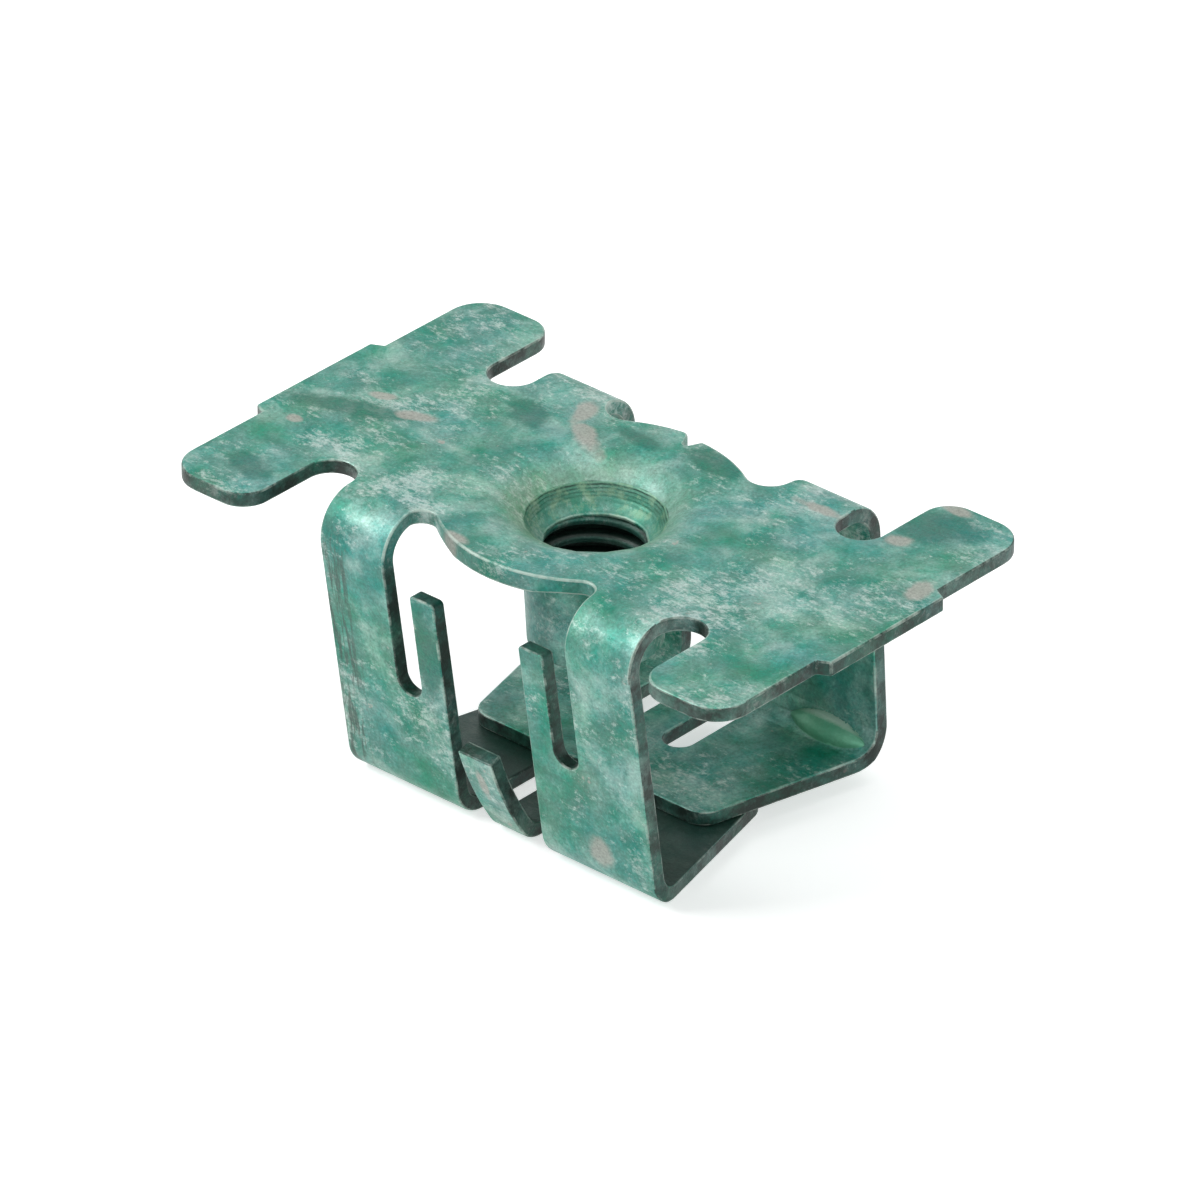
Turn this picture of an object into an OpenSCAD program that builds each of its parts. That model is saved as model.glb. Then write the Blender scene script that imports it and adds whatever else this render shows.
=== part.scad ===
// Radiator shield nut: one piece of sheet folded into an open box under a winged plate, with a drawn,
// threaded collar in the middle. Millimetres, +Z up.
// Origin: thread axis in the plane the part stands on. X runs along the wings, front is -Y.

/* [Sheet] */
// Sheet thickness
sheet_t = 0.8; // [0.6:0.05:1.2]

/* [Plate] */
// Length over the standing-out middles of both ends
plate_l = 36.3; // [32:0.1:44]
// Width over the wing arms
plate_w = 22.1; // [19:0.1:28]
// Width of a wing arm, along the plate
arm_w = 5.2; // [3:0.1:6]
// How far the middle of each end stands out past the arms
end_step = 0.65; // [0.2:0.05:1]
// Length of that middle
end_step_w = 8; // [5:0.1:10]
// Corner radius of an arm on its outer side
arm_r = 1.85; // [0.5:0.05:2.4]
// Corner radius of an arm on its inner side
arm_inner_r = 1.5; // [0.4:0.05:2.2]
// Distance of a wing notch's round end from the middle line
notch_end = 5.2; // [4:0.1:6]

/* [Collar] */
// Radius of the round plate edge about the thread, at the front
hub_r = 7.65; // [7:0.05:8.5]
// Radius of that edge at the back, right of the nick
lobe_right_r = 7.45; // [7:0.05:8.5]
// Radius of that edge at the back, left of the nick
lobe_left_r = 7.72; // [7:0.02:8.5]
// Rounding between the back edge and the legs
lobe_fillet = 1.2; // [0.8:0.05:1.6]
// Radius where the plate starts to dip into the collar
dish_r = 6; // [5.4:0.05:6.5]
// Rounding of that dip, on the top side
dish_fillet = 3.7; // [2.8:0.05:4.5]
// Rounding between the plate's underside and the collar
root_fillet = 2.2; // [1.6:0.05:2.4]
// Diameter of the mouth's crisp edge
mouth_d = 6.92; // [6.5:0.02:7.2]
// Depth of the cone between the mouth and the bore
cone_h = 1.26; // [0.6:0.02:2]
// Bore, the thread's inner diameter
bore_d = 5; // [4.4:0.05:5.4]
// Collar diameter under the plate
collar_d = 7; // [6.6:0.05:7.6]
// Collar diameter at its lower end
collar_end_d = 6.56; // [6.3:0.02:7]
// Depth of the collar below the plate's top
collar_h = 7.55; // [5:0.05:9]

/* [Walls] */
// Length of the box, over the outer edges of the legs
box_l = 19.56; // [17:0.02:22]
// Height from the plate's top to the lowest flange
box_h = 15.85; // [13:0.05:19]
// Middle plane to the widest point of the front legs
front_y = 8.65; // [8.4:0.05:9.5]
// Middle plane to the bend of the back legs
back_y = 9.35; // [8.8:0.05:10]
// Inward lean of the front legs, degrees
front_lean = 8.5; // [0:0.5:12]
// Inward lean of the back legs, degrees
back_lean = -3.5; // [-6:0.5:4]
// Outer radius of the bends at the plate
top_r = 2.15; // [1.6:0.05:2.4]
// Outer radius of the fold under the front legs
front_fold_r = 1.8; // [0.9:0.05:2.4]
// Outer radius of the fold under the back legs
back_fold_r = 2; // [1.4:0.05:2.6]

/* [Legs and fingers] */
// Width of a leg
leg_w = 4.06; // [3:0.02:5]
// Slot between a leg and its finger
slot_w = 1.5; // [1:0.05:1.8]
// Width of a finger
finger_w = 1.55; // [0.8:0.05:1.8]
// Depth of a finger's free end below the plate's top
finger_top = 3.2; // [2.8:0.05:5]
// Depth of a slot's round end below the plate's top
slot_end = 9.38; // [7:0.02:10.5]
// Corner radius of a finger's free end
finger_r = 0.25; // [0.1:0.05:0.5]

/* [Flanges] */
// Reach of a flange, from its wall to its free end
flange_reach = 10.7; // [9:0.1:12]
// Narrowing of a flange on each side, per millimetre of reach past the wall
flange_taper = 0.247; // [0:0.001:0.3]
// Corner radius of a flange's free end
flange_r = 1.2; // [0.5:0.05:2]
// Clearance between the two flanges where they lap
lap_gap = 0.06; // [0.04:0.01:0.3]
// Length of the slots beside the middle tongue, from the wall
tongue_slot = 6.85; // [5:0.05:8]

/* [Tongue lips] */
// Width of the middle tongue and its lip
lip_w = 2.1; // [1.4:0.05:2.4]
// Distance of the front lip's bend from the foot of its wall
front_lip = 1.8; // [1.2:0.05:3]
// Distance of the back lip's bend from the foot of its wall
back_lip = 2.6; // [2:0.05:3]
// Outer radius of the lip's bend
lip_r = 1.6; // [1.2:0.05:2.4]
// Turn of that bend, degrees
lip_angle = 57; // [40:1:70]
// Outer radius of the slow curve above it
lip_curve_r = 20; // [8:0.5:30]
// Turn of the slow curve, degrees
lip_curve_angle = 15; // [8:1:30]

/* [Beads] */
// Length of the stiffening bead pressed into each back fold
bead_l = 4.9; // [3:0.1:5.5]
// Distance of the bead from the edge of the leg
bead_gap = 0.35; // [0.2:0.05:1]
// How far the bead stands into the corner
bead_in = 0.75; // [0.3:0.05:1]
// Depth of the dent behind it
bead_dent = 0.4; // [0.2:0.05:0.6]

/* [Cut-off nick] */
// Place of the nick in the back edge, from the middle
nick_x = -0.3; // [-1:0.05:1]
// Width of the nick at its round end
nick_w = 0.35; // [0.2:0.05:0.8]
// Slant of the nick's sides, degrees
nick_angle = 25; // [5:1:40]
// Depth of the nick
nick_d = 0.95; // [0.5:0.05:1.2]

/* [Hidden] */
$fn = 96;
over = 1;
// hair by which a rounding overlaps the flats it runs into
meet = 0.0005;
// overlap of the plate and the strips bent down from it
tuck = 0.1;
// depth of the openings that are cut from above, and of those cut from the front where they start
plan_z = 2 * sheet_t;
wall_z = 1.5 * sheet_t;
// turn by which a lip is drawn on past its end before it is cut, degrees
spare_angle = 6;
// direction of a bead from its fold's axis, from straight down, degrees
bead_angle = 45;
// depth of a bead's axis under the sheet's face
bead_sink = 0.1;
half_l = plate_l / 2 - end_step;
half_w = plate_w / 2;
arm_in = half_l - arm_w;
leg_out = box_l / 2;
leg_in = leg_out - leg_w;
finger_out = leg_in - slot_w;
finger_in = finger_out - finger_w;
lip_half = lip_w / 2;
notch_r = (arm_in - leg_out) / 2;
notch_x = leg_out + notch_r;
corner_r = slot_w / 2;
corner_x = leg_in - corner_r;
mouth_r = mouth_d / 2;
mouth_z = dish_fillet - sqrt(pow(dish_fillet, 2) - pow(dish_r - mouth_r, 2));
bore_z = mouth_z + cone_h;
root_x = collar_d / 2 + root_fillet;
root_z = sheet_t + root_fillet;
front_root = front_y - top_r;
back_root = back_y - top_r;
front_h = box_h;
back_h = box_h - sheet_t - lap_gap;
slot_r = (finger_in - lip_half) / 2;
lip_end = lip_angle + lip_curve_angle;
lip_mid = [0, lip_r] + (lip_r - lip_curve_r) * ray(lip_angle);

// Rectangle between two corners
module block2(x0, y0, x1, y1) {
    translate([x0, y0])
        square([x1 - x0, y1 - y0]);
}

// What rounding takes off a square corner at the origin whose sheet lies toward +x, +y
module corner2(r) {
    difference() {
        translate([-over, -over])
            square(r + over);
        translate([r, r])
            circle(r);
    }
}

// Copies to both ends of the plate
module both_x() {
    children();
    mirror([1, 0, 0])
        children();
}

// Copies to front and back
module both_y() {
    children();
    mirror([0, 1, 0])
        children();
}

// One wing arm, in plan
module arm2() {
    difference() {
        block2(arm_in, 0, half_l, half_w);
        translate([half_l, half_w])
            rotate(180)
                corner2(arm_r);
        translate([arm_in, half_w])
            rotate(270)
                corner2(arm_inner_r);
    }
}

// Middle of a plate end, standing out past the arms
module end2() {
    far = half_l + end_step;
    wide = end_step_w / 2;
    polygon([[0, -wide], [half_l, -wide - end_step / 2], [far, -wide], [far, wide],
             [half_l, wide + end_step / 2], [0, wide]]);
}

// Round-ended notch between an arm and a leg, in plan
module notch2() {
    translate([notch_x, notch_end + notch_r])
        circle(notch_r);
    block2(leg_out, notch_end + notch_r, arm_in, half_w + over);
}

// Right half of the opening between two legs, in plan; a rounding joins the leg and the hub's edge
module half_window2(edge_r, fillet) {
    x = leg_in - fillet;
    y = sqrt(pow(edge_r + fillet, 2) - pow(x, 2));
    far = half_w + over;
    difference() {
        union() {
            translate([x, y])
                circle(fillet);
            polygon([[0, 0], [x, y], [leg_in, y], [leg_in, far], [0, far]]);
        }
        circle(edge_r);
    }
}

// Opening between two legs, in plan, with the radius of the hub's edge on either half
module window2(right_r, left_r, fillet) {
    half_window2(right_r, fillet);
    mirror([1, 0])
        half_window2(left_r, fillet);
}

// Small cut-off nick in the back edge, in plan
module nick2() {
    r = nick_w / 2;
    side_x = r * cos(nick_angle);
    side_y = -r * sin(nick_angle);
    far_x = side_x + (nick_d + over) * tan(nick_angle);
    far_y = side_y + nick_d + over;
    translate([nick_x, hub_r - nick_d + r]) {
        circle(r);
        polygon([[side_x, side_y], [far_x, far_y], [-far_x, far_y], [-side_x, side_y]]);
    }
}

// Opening between the front legs, in plan, y toward the front
module front_window2() {
    window2(hub_r, hub_r, corner_r);
}

// Opening between the back legs and the nick in its edge, in plan
module back_window2() {
    window2(lobe_right_r, lobe_left_r, lobe_fillet);
    nick2();
}

// Flat plate with its wings, in plan
module plate2() {
    difference() {
        union() {
            both_x() {
                both_y()
                    arm2();
                end2();
            }
            block2(-arm_in, tuck - front_root, arm_in, back_root - tuck);
            intersection() {
                circle(max(hub_r, lobe_right_r, lobe_left_r) + tuck);
                block2(-leg_in, -half_w, leg_in, half_w);
            }
        }
        both_x()
            both_y()
                notch2();
        back_window2();
        mirror([0, 1])
            front_window2();
    }
}

// Section of the dip and the collar, radius across and height up
module collar2() {
    difference() {
        block2(0, -collar_h, dish_r + tuck, 0);
        // air over the dip
        difference() {
            block2(-over, -dish_fillet, dish_r, over);
            translate([dish_r, -dish_fillet])
                circle(dish_fillet);
        }
        // mouth, cone and bore
        polygon([[-over, over], [mouth_r, over], [mouth_r, -mouth_z], [bore_d / 2, -bore_z],
                 [bore_d / 2, -collar_h - over], [-over, -collar_h - over]]);
        // air under the plate and round the collar
        difference() {
            polygon([[collar_d / 2, -sheet_t], [dish_r + over, -sheet_t], [dish_r + over, -collar_h - over],
                     [collar_end_d / 2, -collar_h - over], [collar_end_d / 2, -collar_h],
                     [collar_d / 2, -root_z]]);
            difference() {
                block2(0, -root_z, root_x, 0);
                translate([root_x, -root_z])
                    circle(root_fillet);
            }
        }
    }
}

// Plate with its collar
module plate() {
    difference() {
        translate([0, 0, -sheet_t])
            linear_extrude(sheet_t)
                plate2();
        translate([0, 0, -2 * over])
            cylinder(h = 4 * over, r = dish_r);
    }
    rotate_extrude()
        collar2();
}

// Unit vector at an angle from straight down, turning outward
function ray(angle) = [sin(angle), -cos(angle)];

// Length of a wall between its bends, the middle of its fold, and the line where its flange starts;
// sections are drawn with y outward and z up
function wall_len(lean, fold_r, high) =
    (high - top_r * (1 + sin(lean)) - fold_r * (1 - sin(lean))) / cos(lean);
function fold_mid(root, lean, fold_r, high) =
    [root + (top_r - fold_r) * cos(lean) - wall_len(lean, fold_r, high) * sin(lean), fold_r - high];
function foot(root, lean, fold_r, high) = fold_mid(root, lean, fold_r, high)[0] + fold_r * cos(lean);

// Section of the room behind one side's sheet, at a depth under its outer face, from the line y = from
module room2(root, lean, fold_r, high, depth, from) {
    top = [root, -top_r];
    low = fold_mid(root, lean, fold_r, high);
    out = ray(90 - lean);
    polygon([[from, -depth], [root, -depth], top + (top_r - depth) * out, low + (fold_r - depth) * out,
             [low[0], depth - high], [from, depth - high]]);
    translate(top)
        circle(top_r - depth + meet);
    translate(low)
        circle(fold_r - depth + meet);
}

// Section of the room above a tongue and behind its lip, at a depth under the outer face
module lip_room2(depth, from) {
    trim = lip_end + spare_angle;
    far = lip_curve_r - depth;
    polygon([[from, depth], [0, depth], [0, lip_r] + (lip_r - depth) * ray(lip_angle),
             lip_mid + far * ray(trim), lip_mid]);
    translate([0, lip_r])
        circle(lip_r - depth + meet);
    intersection() {
        translate(lip_mid)
            circle(far);
        polygon([lip_mid, for (a = [lip_angle, lip_end, trim]) lip_mid + 2 * lip_curve_r * ray(a)]);
    }
}

// Runs a section drawn in the upright plane from x0 to x1
module run_x(x0, x1) {
    translate([x0, 0, 0])
        rotate([90, 0, 90])
            linear_extrude(x1 - x0)
                children();
}

// Cut between the legs, seen from the front: the window above the fingers and the slots beside them
module legs_cut2() {
    block2(-leg_in, -finger_top, leg_in, -wall_z);
    both_x() {
        translate([corner_x, corner_r - slot_end])
            circle(corner_r);
        block2(finger_out, corner_r - slot_end, leg_in, -wall_z);
        translate([finger_in, -finger_top])
            mirror([0, 1])
                corner2(finger_r);
        translate([finger_out, -finger_top])
            rotate(180)
                corner2(finger_r);
    }
}

// Cut about the middle tongue, in plan, y outward from the foot of the wall
module tongue_cut2(lip_start) {
    block2(-finger_in, -lip_start, finger_in, plate_w);
    both_x() {
        translate([lip_half + slot_r, slot_r - tongue_slot])
            circle(slot_r);
        block2(lip_half, slot_r - tongue_slot, finger_in, over);
    }
}

// Cut outside the tapered, round-cornered outline of a flange, in plan, y outward from the foot of the wall
module taper_cut2() {
    start_y = -sheet_t - tuck;
    end_x = leg_out - flange_taper * (flange_reach + start_y);
    slant = sqrt(1 + pow(flange_taper, 2));
    round_x = end_x + flange_taper * flange_r - flange_r * slant;
    round_y = flange_r - flange_reach;
    both_x() {
        polygon([[leg_out, start_y], [end_x - flange_taper * over, -flange_reach - over],
                 [leg_out + over, -flange_reach - over], [leg_out + over, start_y]]);
        difference() {
            polygon([[round_x, round_y],
                     [round_x + flange_r / slant, round_y - flange_r * flange_taper / slant],
                     [end_x + over, round_y], [end_x + over, -flange_reach - over],
                     [round_x, -flange_reach - over]]);
            translate([round_x, round_y])
                circle(flange_r + meet);
        }
    }
}

// Legs, fingers, fold, flange and lip on one side of the plate; the child is the opening between the legs
module side(root, lean, fold_r, high, lip_start) {
    edge = foot(root, lean, fold_r, high);
    end_y = edge - flange_reach;
    tongue_in = lip_start - tongue_slot - over;
    difference() {
        run_x(-leg_out, leg_out)
            difference() {
                room2(root, lean, fold_r, high, 0, end_y);
                room2(root, lean, fold_r, high, sheet_t, end_y - over);
                // the plate goes on from here
                block2(end_y - over, -2 * sheet_t, root - 2 * tuck, over);
            }
        translate([0, plate_w, 0])
            rotate([90, 0, 0])
                linear_extrude(plate_w)
                    legs_cut2();
        translate([0, 0, -plan_z])
            linear_extrude(plan_z + over)
                children();
        translate([0, edge, -high - over]) {
            linear_extrude(high)
                tongue_cut2(lip_start);
            linear_extrude(fold_r + over)
                taper_cut2();
        }
    }
    // tongue and lip
    translate([0, edge - lip_start, -high])
        run_x(-lip_half, lip_half)
            difference() {
                lip_room2(0, tongue_in);
                lip_room2(sheet_t, tongue_in - over);
                polygon([lip_mid, for (turn = [0, 2 * spare_angle])
                                      lip_mid + 2 * lip_curve_r * ray(lip_end + turn)]);
            }
}

// Front side
module front() {
    mirror([0, 1, 0])
        side(front_root, front_lean, front_fold_r, front_h, front_lip)
            front_window2();
}

// Spindle along X, pointed at both ends
module spindle(len, r) {
    big = (pow(len / 2, 2) + pow(r, 2)) / (2 * r);
    rotate([0, 90, 0])
        rotate_extrude()
            intersection() {
                translate([r - big, 0])
                    circle(big);
                block2(0, -len, 2 * r, len);
            }
}

// Spindle along the middle of each back fold, its axis at some reach from the fold's own
module bead(reach, high) {
    at = fold_mid(back_root, back_lean, back_fold_r, back_h) + reach * ray(bead_angle);
    both_x()
        translate([leg_out - bead_gap - bead_l / 2, at[0], at[1]])
            spindle(bead_l, high);
}

// Back side, its folds pressed in by a bead on each leg
module back() {
    difference() {
        union() {
            side(back_root, back_lean, back_fold_r, back_h, back_lip)
                back_window2();
            intersection() {
                bead(back_fold_r - sheet_t + bead_sink, bead_in + bead_sink);
                run_x(-leg_out, leg_out)
                    room2(back_root, back_lean, back_fold_r, back_h, sheet_t / 2, 0);
            }
        }
        bead(back_fold_r + bead_sink, bead_dent + bead_sink);
    }
}

// The whole folded piece
module shield_nut() {
    color("#6fae9b")
        translate([0, 0, box_h]) {
            plate();
            front();
            back();
        }
}

shield_nut();
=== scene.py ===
"""Radiator shield nut: a folded, green chromated sheet nut with a threaded collar, on a white floor."""
import math

import bmesh
import bpy
from mathutils import Matrix, Vector


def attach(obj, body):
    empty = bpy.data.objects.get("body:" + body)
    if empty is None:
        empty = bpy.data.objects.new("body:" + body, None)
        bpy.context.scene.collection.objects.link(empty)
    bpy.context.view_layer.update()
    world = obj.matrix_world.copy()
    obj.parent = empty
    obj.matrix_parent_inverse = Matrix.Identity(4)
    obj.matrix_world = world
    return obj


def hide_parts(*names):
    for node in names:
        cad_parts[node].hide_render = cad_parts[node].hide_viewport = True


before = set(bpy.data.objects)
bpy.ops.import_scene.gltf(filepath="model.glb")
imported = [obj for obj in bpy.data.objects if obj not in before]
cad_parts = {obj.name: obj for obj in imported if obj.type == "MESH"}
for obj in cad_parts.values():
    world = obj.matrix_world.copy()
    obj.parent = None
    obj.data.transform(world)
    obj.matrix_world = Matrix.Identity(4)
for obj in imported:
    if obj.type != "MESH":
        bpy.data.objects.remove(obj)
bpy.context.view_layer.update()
MM = 0.001

# Sizes that the looks need, in millimetres
PLATE_TOP = 15.85
DIP_R = 6.0
DIP_ROUND = 3.7
DIP_STEPS = 14
MOUTH_R = 3.46
BORE_R = 2.5
BORE_TOP = 13.58
BORE_END = 8.3
THREAD_ROOT_R = 3.0
THREAD_PITCH = 1.0
EDGE_ROUND = 0.11
LIP_R = 2.6
# Radius and height of the cone's tool rings, from the mouth to the lip
CONE_RINGS = [(3.4, 14.82), (3.422, 14.72), (3.305, 14.665), (3.327, 14.565), (3.21, 14.51), (3.232, 14.41),
              (3.115, 14.355), (3.137, 14.255), (3.05, 14.2), (3.0, 14.08), (2.92, 13.98), (2.8, 13.86),
              (2.68, 13.75), (2.6, 13.68), (2.58, 13.64), (2.52, 13.62), (BORE_R, 13.57), (BORE_R, 13.49),
              (2.54, 13.45)]
RING_STEP = 0.155
RING_TOP = 14.74
NICK_ROUND = 0.3
NICK_REACH = 0.34
MERGE_DIST = 0.012
# Box about the two pressed beads: nearest and farthest x, front y and top z
BEAD_X = (4.4, 9.5)
BEAD_FRONT = 6.5
BEAD_TOP = 4.2
SHARP = math.radians(35)
# Middle, half size and turn of the larger bare patches, the darkest pools of dye and the whitest places
BARE_SPOTS = [((-5.9, 5.9, 15.8), (1.7, 0.8, 1.5), -1.18), ((-4.3, 4.2, 15.8), (2.0, 0.8, 1.5), -0.57),
              ((-14.2, 0.6, 15.8), (1.0, 0.4, 1.5), 0.3), ((-11.6, 0.2, 15.8), (1.4, 0.55, 1.5), 0.3),
              ((-15.9, -3.8, 15.8), (0.6, 0.45, 1.5), 0.0), ((-2.5, -7.0, 15.8), (1.1, 0.5, 1.5), -0.2),
              ((8.6, 6.3, 15.8), (1.8, 0.5, 1.5), 0.0), ((13.2, 6.5, 15.8), (1.0, 0.7, 1.5), 0.3),
              ((13.5, 10.5, 15.8), (1.3, 0.5, 1.5), 0.0), ((16.9, 3.6, 15.8), (0.8, 1.3, 1.5), 0.1),
              ((6.5, -7.0, 2.2), (1.1, 1.5, 1.1), 0.0), ((0.0, -8.2, 3.6), (0.4, 1.5, 1.4), 0.0)]
DARK_SPOTS = [((-14.8, -1.3, 15.8), (4.4, 1.1, 1.5), 0.33), ((-3.5, -8.0, 9.3), (1.3, 2.0, 4.2), 0.0),
              ((13.7, 8.6, 15.8), (3.0, 2.0, 1.5), 0.4), ((1.8, 6.3, 15.8), (2.2, 1.2, 1.5), -0.2),
              ((-2.3, 5.7, 15.8), (1.8, 0.7, 1.5), 0.0), ((-14.4, -8.6, 15.8), (2.0, 1.2, 1.5), -0.2),
              ((-7.8, 4.0, 15.8), (2.0, 1.2, 1.5), -0.5)]
WHITE_SPOTS = [((11.0, -0.5, 15.8), (4.5, 4.5, 3.0), 0.0), ((-5.5, -6.0, 15.8), (1.8, 1.2, 1.5), 0.0),
               ((-13.0, -4.5, 15.8), (3.0, 1.3, 1.5), 0.2)]


def linear(hex_colour):
    """Linear colour from an sRGB hex value."""
    parts = [int(hex_colour[i:i + 2], 16) / 255 for i in (1, 3, 5)]
    return [c / 12.92 if c <= 0.04045 else ((c + 0.055) / 1.055) ** 2.4 for c in parts] + [1]


def radius(v):
    """Distance of a vertex from the thread's axis, in millimetres."""
    return math.hypot(v.co.x, v.co.y) / MM


def make_object(bm, name, material):
    """Object of a finished bmesh, riding on the part's one body."""
    mesh = bpy.data.meshes.new(name)
    bm.to_mesh(mesh)
    bm.free()
    mesh.materials.append(material)
    mesh.shade_smooth()
    piece = bpy.data.objects.new(name, mesh)
    bpy.context.scene.collection.objects.link(piece)
    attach(piece, "root")
    return piece


def loop_at(bm, low):
    """Edges of the open rim at the bore's lower or upper end."""
    middle = 0.5 * (BORE_TOP + BORE_END) * MM
    return [e for e in bm.edges if e.is_boundary and (e.verts[0].co.z < middle) == low]


def dip_height(r):
    """Height of the drawn dip's top side at a radius, in millimetres."""
    return PLATE_TOP - DIP_ROUND + math.sqrt(DIP_ROUND ** 2 - (DIP_R - r) ** 2)


def in_bore(v):
    """Whether a vertex lies on the dip's top side, the cone or the bore."""
    r, z = radius(v), v.co.z / MM
    if r > DIP_R + 0.01 or z < BORE_END - 0.05:
        return False
    if r > MOUTH_R + 0.01:
        return abs(z - dip_height(r)) < 0.03
    return z > BORE_TOP - 0.4 or r < BORE_R + 0.02


def open_bore(bm):
    """Takes off the dip, the cone and the bore's wall."""
    faces = [f for f in bm.faces if all(in_bore(v) for v in f.verts)]
    bmesh.ops.delete(bm, geom=faces, context="FACES")


def ring(bm, edges, r, z):
    """Draws a closed loop on to a radius and a height, in millimetres, and gives the new loop."""
    drawn = bmesh.ops.extrude_edge_only(bm, edges=edges)["geom"]
    verts = [v for v in drawn if isinstance(v, bmesh.types.BMVert)]
    grow, rise = r / radius(verts[0]), z * MM - verts[0].co.z
    bmesh.ops.scale(bm, vec=(grow, grow, 1), verts=verts)
    bmesh.ops.translate(bm, vec=(0, 0, rise), verts=verts)
    new = set(verts)
    return [e for v in verts for e in v.link_edges if e.other_vert(v) in new and e.verts[0] == v]


def machined_bore(bm, wear_and_glint):
    """Closes the hole with an even dip, a cone with its tool rings, a bright lip and the thread's root."""
    loop = loop_at(bm, False)
    lower = loop_at(bm, True)
    for step in range(1, DIP_STEPS + 1):
        r = DIP_R + (MOUTH_R - DIP_R) * step / DIP_STEPS
        loop = ring(bm, loop, r, dip_height(r))
    for r, z in CONE_RINGS:
        loop = ring(bm, loop, r, z)
    loop = ring(bm, loop, THREAD_ROOT_R, BORE_TOP - 0.35)
    loop = ring(bm, loop, THREAD_ROOT_R, BORE_END + 0.12)
    rim = list({v for e in lower for v in e.verts})
    grow = 0.98 * THREAD_ROOT_R / radius(rim[0])
    bmesh.ops.scale(bm, vec=(grow, grow, 1), verts=rim)
    bmesh.ops.bridge_loops(bm, edges=lower + loop)
    # the lip takes the edge mark, for wear and a painted highlight
    for face in bm.faces:
        if all(radius(v) < LIP_R and v.co.z > (BORE_TOP - 0.2) * MM for v in face.verts):
            face[wear_and_glint] = 1


def by_bead(place):
    """Whether a place lies by one of the pressed beads, which keep their own rims."""
    x, y, z = place / MM
    return BEAD_X[0] < abs(x) < BEAD_X[1] and y > BEAD_FRONT and z < BEAD_TOP


def mark_faces(bm):
    """Marks the sheet's cut faces, which lie between its two skins, and the beads for the material."""
    cut = bm.faces.layers.float.new("cut_face")
    bead = bm.faces.layers.float.new("bead")
    regions, seen = [], set()
    for start in bm.faces:
        if start in seen:
            continue
        region, queue = [], [start]
        seen.add(start)
        while queue:
            face = queue.pop()
            region.append(face)
            for edge in face.edges:
                if edge.calc_face_angle(0) > SHARP:
                    continue
                for other in edge.link_faces:
                    if other not in seen:
                        seen.add(other)
                        queue.append(other)
        regions.append(region)
    regions.sort(key=lambda r: sum(f.calc_area() for f in r), reverse=True)
    for region in regions[2:]:
        pressed = all(by_bead(v.co) for f in region for v in f.verts)
        for face in region:
            face[cut] = 0 if pressed else 1
            # the bead mark picks the inner bulge, which the material paints lighter as if lit
            face[bead] = 1 if pressed and face.normal.y < 0.2 else 0


def round_nick(bm):
    """Rounds the upright edge at the left lip of the nick in the plate's back edge."""
    lips, near = [], {}
    for edge in bm.edges:
        x, y, z = (edge.verts[0].co + edge.verts[1].co) / (2 * MM)
        upright = abs(edge.verts[0].co.z - edge.verts[1].co.z) > 0.9 * edge.calc_length()
        if upright and -1.5 < x < -0.5 and y > 7 and z > 14.5 and edge.calc_face_angle(0) > SHARP:
            lips.append(edge)
            for lip in edge.verts:
                for v in bm.verts:
                    level = abs(v.co.z - lip.co.z) < 0.12 * MM
                    if v != lip and level and (v.co - lip.co).length < NICK_REACH * MM:
                        near[v] = lip
    bmesh.ops.weld_verts(bm, targetmap=near)
    bmesh.ops.bevel(bm, geom=lips, offset=NICK_ROUND * MM, offset_type="OFFSET", affect="EDGES", segments=5,
                    profile=0.5, material=-1, clamp_overlap=True)


def folded_sheet(material):
    """The folded sheet, with its stamped edges rounded."""
    bm = bmesh.new()
    bm.from_mesh(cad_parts["shield_nut"].data)
    bmesh.ops.remove_doubles(bm, verts=bm.verts[:], dist=MERGE_DIST * MM)
    bmesh.ops.dissolve_limit(bm, angle_limit=math.radians(0.6), verts=bm.verts[:], edges=bm.edges[:])
    bmesh.ops.recalc_face_normals(bm, faces=bm.faces[:])
    open_bore(bm)
    round_nick(bm)
    mark_faces(bm)
    wear_and_glint = bm.faces.layers.float.new("wear_and_glint_edge")
    sharp = [e for e in bm.edges if e.calc_face_angle(0) > SHARP
             and not by_bead((e.verts[0].co + e.verts[1].co) / 2)]
    made = bmesh.ops.bevel(bm, geom=sharp, offset=EDGE_ROUND * MM, offset_type="OFFSET", affect="EDGES",
                           segments=3, profile=0.5, material=-1, clamp_overlap=False)
    # the rounded edges take the mark for wear and a painted highlight
    for face in made["faces"]:
        face[wear_and_glint] = 1
    machined_bore(bm, wear_and_glint)
    bmesh.ops.recalc_face_normals(bm, faces=bm.faces[:])
    piece = make_object(bm, "folded_sheet", material)
    weighted = piece.modifiers.new("even_shading", "WEIGHTED_NORMAL")
    weighted.keep_sharp = False
    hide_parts("shield_nut")
    return piece


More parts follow.
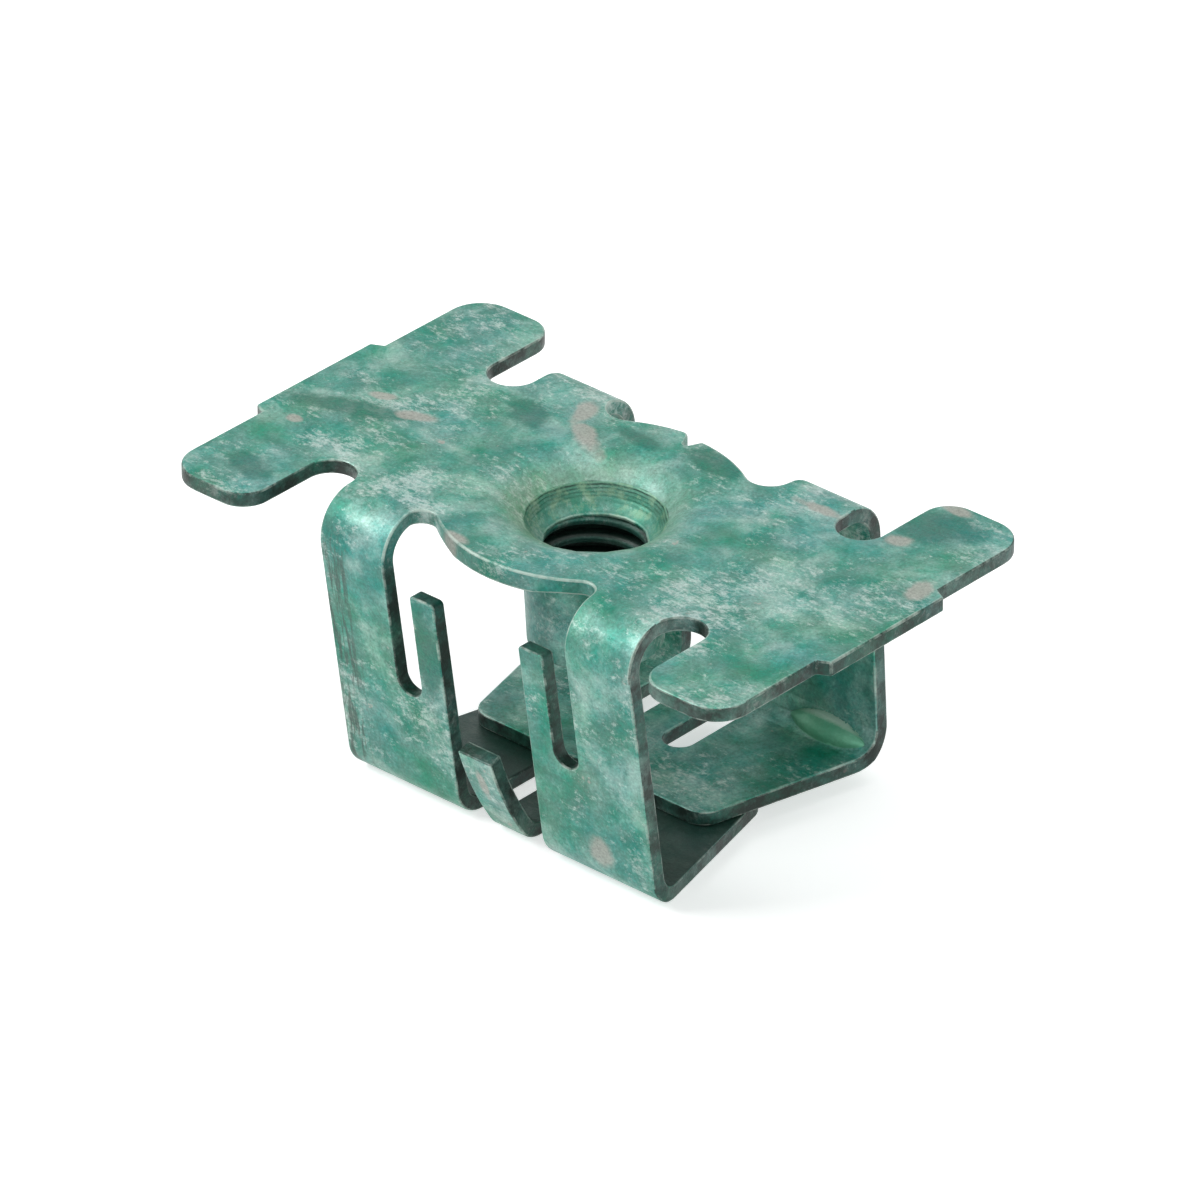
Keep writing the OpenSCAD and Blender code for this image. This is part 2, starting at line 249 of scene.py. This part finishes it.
def thread_ridge(material):
    """The thread's ridge, a right-hand coil on the bore's wall."""
    bm = bmesh.new()
    turns, steps = 6, 72
    half_root, half_crest = 0.46 * THREAD_PITCH, 0.125 * THREAD_PITCH
    start = BORE_END - 0.5 * THREAD_PITCH
    outline = [(THREAD_ROOT_R + 0.05, -half_root), (BORE_R, -half_crest), (BORE_R, half_crest),
               (THREAD_ROOT_R + 0.05, half_root)]
    verts = [bm.verts.new((r * MM, 0, (start + z) * MM)) for r, z in outline]
    face = bm.faces.new(verts)
    bmesh.ops.spin(bm, geom=[face], axis=(0, 0, 1), cent=(0, 0, 0), angle=turns * math.tau,
                   steps=turns * steps, dvec=(0, 0, THREAD_PITCH * MM / steps), use_duplicate=False)
    everything = bm.verts[:] + bm.edges[:] + bm.faces[:]
    low = bmesh.ops.bisect_plane(bm, geom=everything, plane_co=(0, 0, (BORE_END + 0.1) * MM),
                                 plane_no=(0, 0, -1), clear_outer=True)["geom_cut"]
    bmesh.ops.holes_fill(bm, edges=[e for e in low if isinstance(e, bmesh.types.BMEdge)], sides=0)
    bmesh.ops.recalc_face_normals(bm, faces=bm.faces[:])
    return make_object(bm, "thread_ridge", material)


def add(tree, kind, links=None, **settings):
    """Adds a node with its settings; links gives each socket a value or what feeds it."""
    node = tree.nodes.new(kind)
    for name, value in settings.items():
        setattr(node, name, value)
    for socket, value in (links or {}).items():
        if isinstance(value, bpy.types.NodeSocket):
            tree.links.new(value, node.inputs[socket])
        else:
            node.inputs[socket].default_value = value
    return node


def spots(tree, mm, ragged, places, soft):
    """Mask of patches with a ragged border at the given places, one with the next."""
    mask = None
    for middle, size, turn in places:
        near = add(tree, "ShaderNodeMapping", {"Vector": mm, "Location": middle, "Rotation": (0, 0, turn),
                                               "Scale": size},
                   vector_type="TEXTURE").outputs[0]
        near = add(tree, "ShaderNodeVectorMath", {0: near}, operation="LENGTH").outputs["Value"]
        near = add(tree, "ShaderNodeMath", {0: ragged, 1: 1.6, 2: near}, operation="MULTIPLY_ADD").outputs[0]
        near = add(tree, "ShaderNodeMapRange", {"Value": near, "From Min": 1.75, "From Max": 1.75 - soft},
                   interpolation_type="SMOOTHSTEP").outputs[0]
        mask = near if mask is None else add(tree, "ShaderNodeMath", {0: mask, 1: near},
                                             operation="MAXIMUM").outputs[0]
    return mask


def green_chromated_zinc():
    """Zinc plate on steel sheet, passivated green in a tumbling barrel: a satin, mottled teal with white
    rubbed marks, bare grey patches, darker cut faces and brighter edges, partly from wear and partly a
    painted highlight."""
    material = bpy.data.materials.new("green_chromated_zinc")
    material.use_nodes = True
    tree = material.node_tree
    shader = tree.nodes["Principled BSDF"]
    place = add(tree, "ShaderNodeTexCoord").outputs["Object"]
    mm = add(tree, "ShaderNodeMapping", {"Vector": place, "Scale": (1000, 1000, 1000)}).outputs[0]
    spot = add(tree, "ShaderNodeSeparateXYZ", {0: mm}).outputs

    # clouds of dye a few millimetres across
    cloud = add(tree, "ShaderNodeTexNoise", {"Vector": mm, "Scale": 0.36, "Detail": 7, "Roughness": 0.66,
                                             "Distortion": 0.4}).outputs[0]
    ramp = add(tree, "ShaderNodeValToRGB", {"Fac": cloud})
    ramp.color_ramp.elements[0].position = 0.36
    ramp.color_ramp.elements[0].color = linear("#2c7a69")
    ramp.color_ramp.elements[1].position = 0.64
    ramp.color_ramp.elements[1].color = linear("#86b0a4")
    ramp.color_ramp.elements.new(0.5).color = linear("#529082")
    colour = ramp.outputs[0]

    # darker, greener pools of dye, by chance and on a few places
    ragged = add(tree, "ShaderNodeTexNoise", {"Vector": mm, "Scale": 0.7, "Detail": 5, "W": 7.3,
                                              "Roughness": 0.6},
                 noise_dimensions="4D").outputs[0]
    pool = add(tree, "ShaderNodeTexNoise", {"Vector": mm, "Scale": 0.3, "Detail": 5, "W": 3.0,
                                            "Roughness": 0.6},
               noise_dimensions="4D").outputs[0]
    pool = add(tree, "ShaderNodeMapRange", {"Value": pool, "From Min": 0.53, "From Max": 0.66},
               interpolation_type="SMOOTHSTEP").outputs[0]
    pool = add(tree, "ShaderNodeMath", {0: pool, 1: 0.75}, operation="MULTIPLY").outputs[0]
    colour = add(tree, "ShaderNodeMix", {0: pool, 6: colour, 7: linear("#2b7766")},
                 data_type="RGBA").outputs[2]

    # white rub marks: short strokes along the plate, thick on some places
    stroke = add(tree, "ShaderNodeMapping", {"Vector": mm, "Rotation": (0, 0, math.radians(6)),
                                             "Scale": (1.7, 2.9, 2.3)}).outputs[0]
    stroke = add(tree, "ShaderNodeTexNoise", {"Vector": stroke, "Scale": 1.0, "Detail": 8, "Roughness": 0.8,
                                              "Distortion": 0.25}).outputs[0]
    where = add(tree, "ShaderNodeTexNoise", {"Vector": mm, "Scale": 0.2, "Detail": 6, "Roughness": 0.62,
                                             "W": 1.7},
                noise_dimensions="4D").outputs[0]
    white = spots(tree, mm, ragged, WHITE_SPOTS, 0.9)
    white = add(tree, "ShaderNodeMath", {0: white, 1: 0.13, 2: where}, operation="MULTIPLY_ADD").outputs[0]
    limit = add(tree, "ShaderNodeMapRange", {"Value": white, "From Min": 0.36, "From Max": 0.66,
                                             "To Min": 0.16, "To Max": -0.1}).outputs[0]
    stroke = add(tree, "ShaderNodeMath", {0: stroke, 1: limit}, operation="SUBTRACT").outputs[0]
    stroke = add(tree, "ShaderNodeMapRange", {"Value": stroke, "From Min": 0.48, "From Max": 0.66,
                                              "To Max": 0.75},
                 interpolation_type="SMOOTHSTEP").outputs[0]
    colour = add(tree, "ShaderNodeMix", {0: stroke, 6: colour, 7: linear("#bccfc8")},
                 data_type="RGBA").outputs[2]

    dark = spots(tree, mm, ragged, DARK_SPOTS, 0.45)
    speck = add(tree, "ShaderNodeTexNoise", {"Vector": mm, "Scale": 2.2, "Detail": 3, "W": 5.1,
                                             "Roughness": 0.6},
                noise_dimensions="4D").outputs[0]
    speck = add(tree, "ShaderNodeMapRange", {"Value": speck, "From Min": 0.63, "From Max": 0.75,
                                             "To Max": 0.8}).outputs[0]
    dark = add(tree, "ShaderNodeMath", {0: dark, 1: speck}, operation="MAXIMUM").outputs[0]
    dark = add(tree, "ShaderNodeMath", {0: dark, 1: 0.85}, operation="MULTIPLY").outputs[0]
    colour = add(tree, "ShaderNodeMix", {0: dark, 6: colour, 7: linear("#23695a")},
                 data_type="RGBA").outputs[2]

    # the drawn dip about the hole, stretched thin and yellower
    across = add(tree, "ShaderNodeMapping", {"Vector": mm, "Scale": (1, 1, 0)}).outputs[0]
    across = add(tree, "ShaderNodeVectorMath", {0: across}, operation="LENGTH").outputs["Value"]
    dip = add(tree, "ShaderNodeMapRange", {"Value": across, "From Min": 5.4, "From Max": 3.6, "To Max": 0.7},
              interpolation_type="SMOOTHSTEP").outputs[0]
    high = add(tree, "ShaderNodeMapRange", {"Value": spot["Z"], "From Min": 14.6,
                                            "From Max": 14.9}).outputs[0]
    dip = add(tree, "ShaderNodeMath", {0: dip, 1: high}, operation="MULTIPLY").outputs[0]
    dip = add(tree, "ShaderNodeMath", {0: dip, 1: where}, operation="MULTIPLY").outputs[0]
    colour = add(tree, "ShaderNodeMix", {0: dip, 6: colour, 7: linear("#8c9f7c")},
                 data_type="RGBA").outputs[2]

    # drift between a bluer and a greener dye
    drift = add(tree, "ShaderNodeTexNoise", {"Vector": mm, "Scale": 0.25, "Detail": 4, "W": 9.0,
                                             "Roughness": 0.6},
                noise_dimensions="4D").outputs[0]
    hue = add(tree, "ShaderNodeMapRange", {"Value": drift, "From Min": 0.35, "From Max": 0.65,
                                           "To Min": 0.478, "To Max": 0.522}).outputs[0]
    vivid = add(tree, "ShaderNodeMapRange", {"Value": ragged, "From Min": 0.35, "From Max": 0.6,
                                             "To Min": 1.25, "To Max": 0.9}).outputs[0]
    colour = add(tree, "ShaderNodeHueSaturation", {"Hue": hue, "Saturation": vivid,
                                                   "Color": colour}).outputs[0]

    # bare patches where the dye was wiped off, by chance and on a few handled places
    bare = add(tree, "ShaderNodeMapRange", {"Value": ragged, "From Min": 0.67, "From Max": 0.71},
               interpolation_type="SMOOTHSTEP").outputs[0]
    bare = add(tree, "ShaderNodeMath", {0: bare, 1: spots(tree, mm, ragged, BARE_SPOTS, 0.5)},
               operation="MAXIMUM").outputs[0]
    bare = add(tree, "ShaderNodeMath", {0: bare, 1: 0.75}, operation="MULTIPLY").outputs[0]
    colour = add(tree, "ShaderNodeMix", {0: bare, 6: colour, 7: linear("#a8a39b")},
                 data_type="RGBA").outputs[2]

    # dark scuffs down the outer edge of the left front leg
    scuff = add(tree, "ShaderNodeMapping", {"Vector": mm, "Scale": (4, 1, 0.4)}).outputs[0]
    scuff = add(tree, "ShaderNodeTexNoise", {"Vector": scuff, "Scale": 1.0, "Detail": 5,
                                             "Roughness": 0.65}).outputs[0]
    scuff = add(tree, "ShaderNodeMapRange", {"Value": scuff, "From Min": 0.47, "From Max": 0.58,
                                             "To Max": 0.8}).outputs[0]
    edge = add(tree, "ShaderNodeMapRange", {"Value": spot["X"], "From Min": -7.8,
                                            "From Max": -8.6}).outputs[0]
    front = add(tree, "ShaderNodeMapRange", {"Value": spot["Y"], "From Min": -5.5,
                                             "From Max": -6.5}).outputs[0]
    scuff = add(tree, "ShaderNodeMath", {0: scuff, 1: edge}, operation="MULTIPLY").outputs[0]
    scuff = add(tree, "ShaderNodeMath", {0: scuff, 1: front}, operation="MULTIPLY").outputs[0]
    below = add(tree, "ShaderNodeMapRange", {"Value": spot["Z"], "From Min": 14.6,
                                             "From Max": 13.4}).outputs[0]
    scuff = add(tree, "ShaderNodeMath", {0: scuff, 1: below}, operation="MULTIPLY").outputs[0]
    colour = add(tree, "ShaderNodeMix", {0: scuff, 6: colour, 7: linear("#33493f")},
                 data_type="RGBA").outputs[2]

    # fine crystalline grain
    grain = add(tree, "ShaderNodeTexNoise", {"Vector": mm, "Scale": 6.5, "Detail": 3,
                                             "Roughness": 0.75}).outputs[0]
    shade = add(tree, "ShaderNodeMapRange", {"Value": grain, "From Min": 0.25, "From Max": 0.75,
                                             "To Min": 0.62, "To Max": 1.36}).outputs[0]
    colour = add(tree, "ShaderNodeMix", {0: 1.0, 6: colour, 7: shade}, data_type="RGBA",
                 blend_type="MULTIPLY").outputs[2]

    # cut faces, darker and browner, but less dark about the hub
    cut = add(tree, "ShaderNodeAttribute", attribute_name="cut_face").outputs["Fac"]
    stain = add(tree, "ShaderNodeTexNoise", {"Vector": mm, "Scale": 0.6, "Detail": 7,
                                             "Roughness": 0.7}).outputs[0]
    stain = add(tree, "ShaderNodeMapRange", {"Value": stain, "From Min": 0.4, "From Max": 0.62,
                                             "To Min": 0.97, "To Max": 0.55}).outputs[0]
    cut = add(tree, "ShaderNodeMath", {0: cut, 1: stain}, operation="MULTIPLY").outputs[0]
    hub = add(tree, "ShaderNodeMapRange", {"Value": across, "From Min": 11.2, "From Max": 10.0}).outputs[0]
    top = add(tree, "ShaderNodeMapRange", {"Value": spot["Z"], "From Min": 13.0, "From Max": 14.2}).outputs[0]
    hub = add(tree, "ShaderNodeMath", {0: hub, 1: top}, operation="MULTIPLY").outputs[0]
    hub_lighter = add(tree, "ShaderNodeMapRange", {"Value": hub, "To Min": 1.0, "To Max": 0.3}).outputs[0]
    cut = add(tree, "ShaderNodeMath", {0: cut, 1: hub_lighter}, operation="MULTIPLY").outputs[0]
    colour = add(tree, "ShaderNodeMix", {0: cut, 6: colour, 7: linear("#0f1d16")},
                 data_type="RGBA").outputs[2]

    # edges, partly bright from wear and partly from a painted highlight on their rounding, brightest about
    # the hub, where the highlight is painted stronger
    wear_and_glint = add(tree, "ShaderNodeAttribute", attribute_name="wear_and_glint_edge").outputs["Fac"]
    rub_and_glint = add(tree, "ShaderNodeTexNoise", {"Vector": mm, "Scale": 0.9, "Detail": 5,
                                           "Roughness": 0.7}).outputs[0]
    rub_and_glint = add(tree, "ShaderNodeMath", {0: hub, 1: 0.12, 2: rub_and_glint}, operation="MULTIPLY_ADD").outputs[0]
    rub_and_glint = add(tree, "ShaderNodeMapRange", {"Value": rub_and_glint, "From Min": 0.45, "From Max": 0.66,
                                           "To Max": 0.62}).outputs[0]
    wear_and_glint = add(tree, "ShaderNodeMath", {0: wear_and_glint, 1: rub_and_glint}, operation="MULTIPLY").outputs[0]
    colour = add(tree, "ShaderNodeMix", {0: wear_and_glint, 6: colour, 7: linear("#b9c9be")},
                 data_type="RGBA").outputs[2]

    # the pressed beads' inner bulge, painted lighter and greener as if lit, with a painted highlight on its
    # faces turned most upward
    facing = add(tree, "ShaderNodeNewGeometry").outputs["Normal"]
    facing = add(tree, "ShaderNodeSeparateXYZ", {0: facing}).outputs["Z"]
    bead = add(tree, "ShaderNodeAttribute", attribute_name="bead").outputs["Fac"]
    # painted light over the whole inner bulge of each bead
    crest = add(tree, "ShaderNodeMath", {0: bead, 1: 0.7}, operation="MULTIPLY").outputs[0]
    colour = add(tree, "ShaderNodeMix", {0: crest, 6: colour, 7: linear("#68b08a")},
                 data_type="RGBA").outputs[2]
    # painted highlight where the bead's faces turn upward
    rim = add(tree, "ShaderNodeMapRange", {"Value": facing, "From Min": 0.85, "From Max": 0.97,
                                           "To Max": 0.8}).outputs[0]
    rim = add(tree, "ShaderNodeMath", {0: rim, 1: bead}, operation="MULTIPLY").outputs[0]
    colour = add(tree, "ShaderNodeMix", {0: rim, 6: colour, 7: linear("#d6e4d6")},
                 data_type="RGBA").outputs[2]

    # painted shade on the upward-facing floor of the front fold, deep in the box
    fold_shade = add(tree, "ShaderNodeMapRange", {"Value": facing, "From Min": 0.3, "From Max": 0.8,
                                            "To Max": 0.85}).outputs[0]
    floor = add(tree, "ShaderNodeMapRange", {"Value": spot["Z"], "From Min": 1.6, "From Max": 0.9}).outputs[0]
    fold_shade = add(tree, "ShaderNodeMath", {0: fold_shade, 1: floor}, operation="MULTIPLY").outputs[0]
    colour = add(tree, "ShaderNodeMix", {0: fold_shade, 6: colour, 7: linear("#182720")},
                 data_type="RGBA").outputs[2]

    # the cone, greener, with painted shade in its upper tool rings
    inside = add(tree, "ShaderNodeMapRange", {"Value": across, "From Min": 3.47, "From Max": 3.44,
                                              "To Max": 0.5}).outputs[0]
    inside = add(tree, "ShaderNodeMath", {0: inside, 1: top}, operation="MULTIPLY").outputs[0]
    colour = add(tree, "ShaderNodeMix", {0: inside, 6: colour, 7: linear("#45805f")},
                 data_type="RGBA").outputs[2]
    turn = math.tau / RING_STEP
    fleck = add(tree, "ShaderNodeTexNoise", {"Vector": mm, "Scale": 1.7, "Detail": 4,
                                             "Roughness": 0.65}).outputs[0]
    pale = add(tree, "ShaderNodeMapRange", {"Value": fleck, "From Min": 0.5, "From Max": 0.62,
                                            "To Max": 0.8}).outputs[0]
    pale = add(tree, "ShaderNodeMath", {0: pale, 1: inside}, operation="MULTIPLY").outputs[0]
    colour = add(tree, "ShaderNodeMix", {0: pale, 6: colour, 7: linear("#9ab793")},
                 data_type="RGBA").outputs[2]
    # painted shade: dark lines in the grooves of the upper tool rings, broken up by the flecks
    wavy = add(tree, "ShaderNodeMath", {0: ragged, 1: 0.1, 2: spot["Z"]}, operation="MULTIPLY_ADD").outputs[0]
    line = add(tree, "ShaderNodeMath", {0: wavy, 1: turn, 2: (0.25 * RING_STEP - 0.05 - RING_TOP) * turn},
               operation="MULTIPLY_ADD").outputs[0]
    line = add(tree, "ShaderNodeMath", {0: line}, operation="SINE").outputs[0]
    line = add(tree, "ShaderNodeMapRange", {"Value": line, "From Min": -0.4, "From Max": 0.5,
                                            "To Max": 1.8}).outputs[0]
    upper = add(tree, "ShaderNodeMapRange", {"Value": spot["Z"], "From Min": 14.2,
                                             "From Max": 14.75}).outputs[0]
    line = add(tree, "ShaderNodeMath", {0: line, 1: upper}, operation="MULTIPLY").outputs[0]
    line = add(tree, "ShaderNodeMath", {0: line, 1: inside}, operation="MULTIPLY").outputs[0]
    broken = add(tree, "ShaderNodeMapRange", {"Value": fleck, "From Min": 0.62, "From Max": 0.45,
                                              "To Min": 0.3}).outputs[0]
    line = add(tree, "ShaderNodeMath", {0: line, 1: broken}, operation="MULTIPLY").outputs[0]
    colour = add(tree, "ShaderNodeMix", {0: line, 6: colour, 7: linear("#143a2d")},
                 data_type="RGBA").outputs[2]

    # painted shade deep in the bore, less of it on the thread's crests
    bore = add(tree, "ShaderNodeMapRange", {"Value": across, "From Min": 3.12, "From Max": 3.06}).outputs[0]
    crest = add(tree, "ShaderNodeMapRange", {"Value": across, "From Min": BORE_R, "From Max": 2.6,
                                             "To Min": 0.7}).outputs[0]
    deep = add(tree, "ShaderNodeMapRange", {"Value": spot["Z"], "From Min": 13.5, "From Max": 13.2,
                                            "To Max": 0.94}).outputs[0]
    bore = add(tree, "ShaderNodeMath", {0: bore, 1: crest}, operation="MULTIPLY").outputs[0]
    bore = add(tree, "ShaderNodeMath", {0: bore, 1: deep}, operation="MULTIPLY").outputs[0]
    lowest = add(tree, "ShaderNodeMapRange", {"Value": spot["Z"], "From Min": 8.0,
                                              "From Max": BORE_END}).outputs[0]
    bore = add(tree, "ShaderNodeMath", {0: bore, 1: lowest}, operation="MULTIPLY").outputs[0]
    colour = add(tree, "ShaderNodeMix", {0: bore, 6: colour, 7: linear("#122019")},
                 data_type="RGBA").outputs[2]

    rough = add(tree, "ShaderNodeMapRange", {"Value": cloud, "From Min": 0.3, "From Max": 0.7, "To Min": 0.5,
                                             "To Max": 0.36}).outputs[0]
    height = add(tree, "ShaderNodeMath", {0: grain, 1: cloud}, operation="ADD").outputs[0]
    bump = add(tree, "ShaderNodeBump", {"Height": height, "Strength": 0.3, "Distance": 0.00007}).outputs[0]
    tree.links.new(colour, shader.inputs["Base Color"])
    tree.links.new(rough, shader.inputs["Roughness"])
    tree.links.new(bump, shader.inputs["Normal"])
    shader.inputs["Metallic"].default_value = 0.3
    return material


def seen_or_mirrored(tree):
    """One where the place is seen or mirrored, nought where it only gives light."""
    path = add(tree, "ShaderNodeLightPath").outputs
    seen = add(tree, "ShaderNodeMath", {0: path["Is Camera Ray"], 1: path["Is Glossy Ray"]},
               operation="ADD").outputs[0]
    return add(tree, "ShaderNodeMath", {0: seen, 1: path["Is Transmission Ray"]}, operation="ADD",
               use_clamp=True).outputs[0]


def white_floor():
    """Plain white floor that keeps a soft shadow."""
    bm = bmesh.new()
    bmesh.ops.create_grid(bm, x_segments=1, y_segments=1, size=1.0)
    mesh = bpy.data.meshes.new("floor")
    bm.to_mesh(mesh)
    bm.free()
    floor = bpy.data.objects.new("floor", mesh)
    floor.location.z = -0.00002
    bpy.context.scene.collection.objects.link(floor)
    material = bpy.data.materials.new("white_floor")
    material.use_nodes = True
    tree = material.node_tree
    shader = tree.nodes["Principled BSDF"]
    shader.inputs["Base Color"].default_value = (0.85, 0.85, 0.85, 1)
    shader.inputs["Roughness"].default_value = 0.9
    lift = add(tree, "ShaderNodeMath", {0: seen_or_mirrored(tree), 1: 0.55}, operation="MULTIPLY").outputs[0]
    tree.links.new(lift, shader.inputs["Emission Strength"])
    shader.inputs["Emission Color"].default_value = (1, 1, 1, 1)
    mesh.materials.append(material)


def white_surroundings():
    """White background where it is seen or mirrored, plain soft light elsewhere."""
    world = bpy.data.worlds.new("studio")
    world.use_nodes = True
    bpy.context.scene.world = world
    tree = world.node_tree
    strength = add(tree, "ShaderNodeMapRange", {"Value": seen_or_mirrored(tree), "To Min": 0.34,
                                                "To Max": 1.0}).outputs[0]
    background = tree.nodes["Background"]
    background.inputs["Color"].default_value = (1, 1, 1, 1)
    tree.links.new(strength, background.inputs["Strength"])


def softbox(name, place, target, size, watts):
    """Square area lamp turned to a point, in millimetres."""
    lamp = bpy.data.lights.new(name, "AREA")
    lamp.size = size * MM
    lamp.energy = watts
    obj = bpy.data.objects.new(name, lamp)
    obj.location = Vector(place) * MM
    aim = (Vector(target) - Vector(place)).to_track_quat("-Z", "Y")
    obj.rotation_euler = aim.to_euler()
    bpy.context.scene.collection.objects.link(obj)


def photo_camera():
    """Camera at the photograph's viewing angle, far off with a long lens."""
    azimuth, elevation = math.radians(41.711), math.radians(30.488)
    back = Vector((math.sin(azimuth) * math.cos(elevation), -math.cos(azimuth) * math.cos(elevation),
                   math.sin(elevation)))
    right = Vector((math.cos(azimuth), math.sin(azimuth), 0))
    up = back.cross(right)
    camera = bpy.data.cameras.new("camera")
    camera.sensor_width = 36
    camera.lens = 360
    camera.clip_end = 10
    obj = bpy.data.objects.new("camera", camera)
    place = back * 566.04 + right * 0.208 - up * 4.761 + Vector((0, 0, PLATE_TOP))
    turn = Matrix((right, up, back)).transposed().to_4x4()
    obj.matrix_world = Matrix.Translation(place * MM) @ turn
    bpy.context.scene.collection.objects.link(obj)
    bpy.context.scene.camera = obj


zinc = green_chromated_zinc()
folded_sheet(zinc)
thread_ridge(zinc)
white_floor()
white_surroundings()
softbox("key_light", (-135, -120, 165), (0, 0, 8), 120, 0.35)
softbox("top_light", (30, 60, 230), (0, 0, 8), 160, 0.15)
softbox("side_light", (200, -110, 90), (0, 0, 8), 120, 0.14)
photo_camera()
bpy.context.scene.view_settings.view_transform = "Standard"
